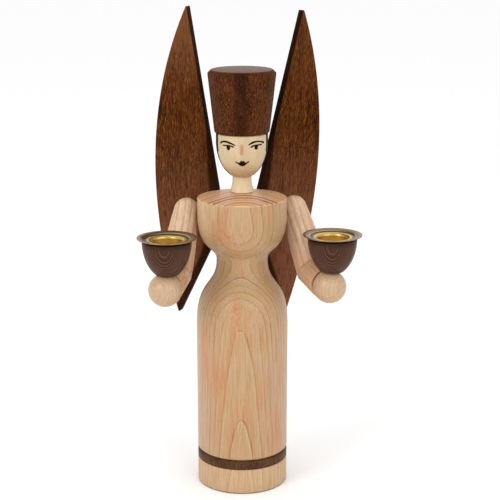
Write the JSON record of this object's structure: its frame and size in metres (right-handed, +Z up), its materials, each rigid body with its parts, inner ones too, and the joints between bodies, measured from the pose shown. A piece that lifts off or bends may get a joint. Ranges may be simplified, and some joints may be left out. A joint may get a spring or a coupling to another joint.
{
  "type": "angel candle holder",
  "caption": "Turned wooden angel in a tall hat, with upright sawn wings and outstretched hands that carry candle cups with brass sockets.",
  "frame": {"origin": "centre of the foot disc's underside, on the turning axis", "axes": "+Z up along the turning axis, the painted face looks along -Y, and +X is to the right as seen from in front"},
  "size_m": [0.1517, 0.1082, 0.3365],
  "materials": {
    "light_wood": "clear satin lacquer on light ash-like wood",
    "dark_wood": "dark brown stained wood, satin",
    "cup_wood": "dark purple-brown turned wood, satin",
    "head_lacquer": "cream lacquer with a painted face and painted hair",
    "dowel_wood": "bare dowel wood, hidden",
    "brass": "polished"
  },
  "bodies": {
    "root": {"foot_disc": "light_wood", "dark_band": "dark_wood", "base_dowel": "dowel_wood", "body": "light_wood", "head": "head_lacquer", "hat": "dark_wood", "left_upper_arm": "light_wood", "left_forearm": "light_wood", "left_hand": "light_wood", "left_cup": "cup_wood", "left_candle_insert": "brass", "left_wing": "dark_wood", "left_shoulder_dowel": "dowel_wood", "left_wrist_dowel": "dowel_wood", "left_cup_dowel": "dowel_wood", "left_wing_dowel": "dowel_wood", "right_upper_arm": "light_wood", "right_forearm": "light_wood", "right_hand": "light_wood", "right_cup": "cup_wood", "right_candle_insert": "brass", "right_wing": "dark_wood", "right_shoulder_dowel": "dowel_wood", "right_wrist_dowel": "dowel_wood", "right_cup_dowel": "dowel_wood", "right_wing_dowel": "dowel_wood"}
  },
  "joints": []
}
